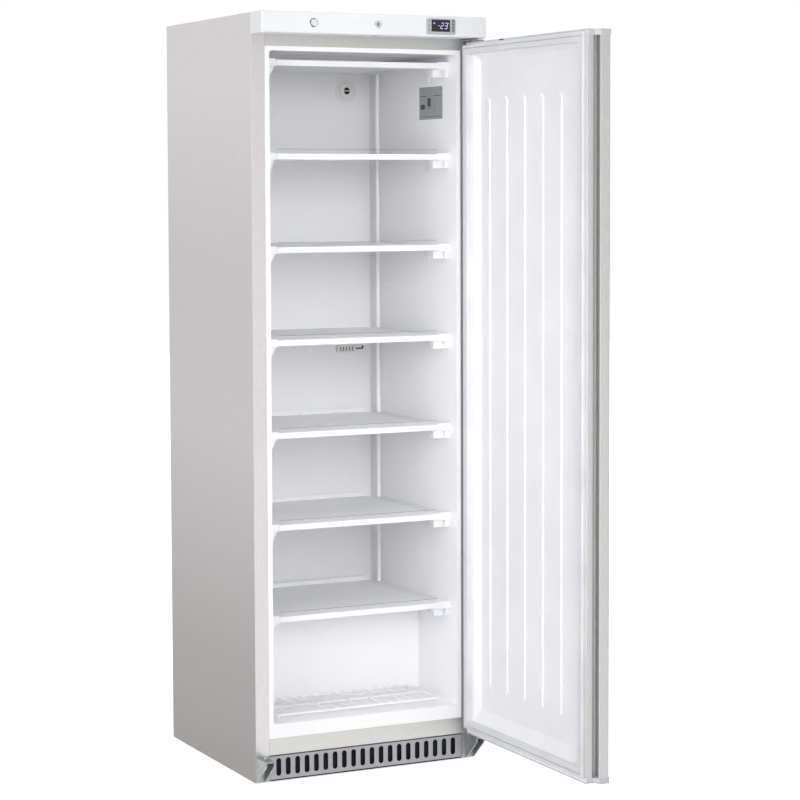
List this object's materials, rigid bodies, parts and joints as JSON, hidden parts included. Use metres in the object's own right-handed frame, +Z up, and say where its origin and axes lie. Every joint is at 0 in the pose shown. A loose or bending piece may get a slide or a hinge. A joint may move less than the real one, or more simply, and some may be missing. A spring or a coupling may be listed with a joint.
{
  "type": "upright freezer",
  "caption": "Tall stainless upright freezer with its solid door open, evaporator shelves, floor rack, control fascia with lock and display, and slotted grille.",
  "frame": {"origin": "on the floor under the middle of the box round the freezer with its door open", "axes": "+Z up, -Y out of the front of the cabinet, +X towards the hinge side"},
  "size_m": [0.6234, 1.181, 1.864],
  "materials": {
    "stainless_steel": "satin",
    "strip_steel": "satin",
    "galvanised_steel": "matte",
    "grille_steel": "satin",
    "foam": "matte",
    "liner_white": "satin",
    "shelf_white": "satin",
    "support_white": "satin",
    "wire_white": "satin",
    "fascia_white": "satin",
    "controller_grey": "satin",
    "display_dark": "gloss",
    "key_grey": "satin",
    "button_dark": "satin",
    "chrome_plate": "polished",
    "lock_steel": "satin",
    "zinc_pin": "satin",
    "valve_white": "satin",
    "probe_black": "matte",
    "compressor_black": "satin",
    "condenser_black": "matte",
    "mount_rubber": "matte",
    "relay_plastic": "matte",
    "copper_tube": "satin",
    "foot_black": "matte",
    "door_steel": "satin",
    "door_white": "satin",
    "gasket_grey": "matte",
    "grip_aluminium": "satin",
    "cap_white": "satin",
    "bush_nylon": "matte",
    "magnet_dark": "matte"
  },
  "bodies": {
    "cabinet": {"side_panel_left": "stainless_steel", "side_panel_right": "stainless_steel", "top_panel": "stainless_steel", "back_panel": "galvanised_steel", "front_strip_top": "strip_steel", "front_strip_bottom": "strip_steel", "insulation": "foam", "liner": "liner_white", "shelf_trims": "support_white", "shelf_supports": "support_white", "evaporator_riser": "wire_white", "pressure_valve": "valve_white", "probe_holder": "valve_white", "temperature_probe": "probe_black", "base_pan": "condenser_black", "compressor_mounts": "mount_rubber", "compressor": "compressor_black", "relay_cover": "relay_plastic", "condenser": "condenser_black", "filter_drier": "copper_tube", "refrigerant_pipes": "copper_tube", "cord_gland": "mount_rubber", "grille": "grille_steel", "hinge_bracket_bottom": "galvanised_steel", "hinge_bracket_spare": "galvanised_steel", "hinge_bracket_top": "galvanised_steel", "hinge_pins": "zinc_pin", "fascia": "fascia_white", "button_ring": "chrome_plate", "lock_housing": "chrome_plate", "controller": "controller_grey", "display_window": "display_dark", "evaporator_shelf_1": "shelf_white", "evaporator_shelf_2": "shelf_white", "evaporator_shelf_3": "shelf_white", "evaporator_shelf_4": "shelf_white", "evaporator_shelf_5": "shelf_white", "evaporator_shelf_6": "shelf_white", "evaporator_shelf_7": "shelf_white"},
    "door": {"door_handle": "grip_aluminium", "door_skin": "door_steel", "door_insulation": "foam", "door_cap_top": "cap_white", "switch_magnet": "magnet_dark", "door_cap_bottom": "cap_white", "door_bushes": "bush_nylon", "door_liner": "door_white", "gasket": "gasket_grey"},
    "rack": {"wire_rack": "wire_white"},
    "lock_barrel": {"lock_barrel": "lock_steel"},
    "lock_bolt": {"lock_bolt": "zinc_pin"},
    "power_button": {"power_button": "button_dark"},
    "key_1": {"controller_key_1": "key_grey"},
    "key_2": {"controller_key_2": "key_grey"},
    "key_3": {"controller_key_3": "key_grey"},
    "key_4": {"controller_key_4": "key_grey"},
    "foot_front_left": {"foot_front_left": "foot_black"},
    "foot_front_right": {"foot_front_right": "foot_black"},
    "foot_rear_left": {"foot_rear_left": "foot_black"},
    "foot_rear_right": {"foot_rear_right": "foot_black"}
  },
  "joints": [
    {"name": "door_hinge", "type": "hinge", "parent": "cabinet", "child": "door", "pos_m": [0.2763, -0.0025, 0.904], "axis": [0, 0, 1], "range_deg": [-90, 20]},
    {"name": "rack_slide", "type": "slide", "parent": "cabinet", "child": "rack", "axis": [0, -1, 0], "range_m": [0, 0.15]},
    {"name": "lock_turn", "type": "hinge", "parent": "cabinet", "child": "lock_barrel", "pos_m": [-0.0077, -0.0295, 1.8385], "axis": [0, 1, 0], "range_deg": [0, 90]},
    {"name": "bolt_slide", "type": "slide", "parent": "cabinet", "child": "lock_bolt", "axis": [0, 0, -1], "range_m": [0, 0.012]},
    {"name": "power_press", "type": "slide", "parent": "cabinet", "child": "power_button", "axis": [0, 1, 0], "range_m": [0, 0.0025], "stiffness_N_per_m": 500},
    {"name": "key_1_press", "type": "slide", "parent": "cabinet", "child": "key_1", "axis": [0, 1, 0], "range_m": [0, 0.0006], "stiffness_N_per_m": 800},
    {"name": "key_2_press", "type": "slide", "parent": "cabinet", "child": "key_2", "axis": [0, 1, 0], "range_m": [0, 0.0006], "stiffness_N_per_m": 800},
    {"name": "key_3_press", "type": "slide", "parent": "cabinet", "child": "key_3", "axis": [0, 1, 0], "range_m": [0, 0.0006], "stiffness_N_per_m": 800},
    {"name": "key_4_press", "type": "slide", "parent": "cabinet", "child": "key_4", "axis": [0, 1, 0], "range_m": [0, 0.0006], "stiffness_N_per_m": 800},
    {"name": "foot_front_left_screw", "type": "slide", "parent": "cabinet", "child": "foot_front_left", "axis": [0, 0, -1], "range_m": [0, 0.012]},
    {"name": "foot_front_right_screw", "type": "slide", "parent": "cabinet", "child": "foot_front_right", "axis": [0, 0, -1], "range_m": [0, 0.012]},
    {"name": "foot_rear_left_screw", "type": "slide", "parent": "cabinet", "child": "foot_rear_left", "axis": [0, 0, -1], "range_m": [0, 0.012]},
    {"name": "foot_rear_right_screw", "type": "slide", "parent": "cabinet", "child": "foot_rear_right", "axis": [0, 0, -1], "range_m": [0, 0.012]}
  ],
  "couplings": [
    {"joint": "lock_turn", "follows": "bolt_slide", "rad_per_m": 130.9}
  ]
}
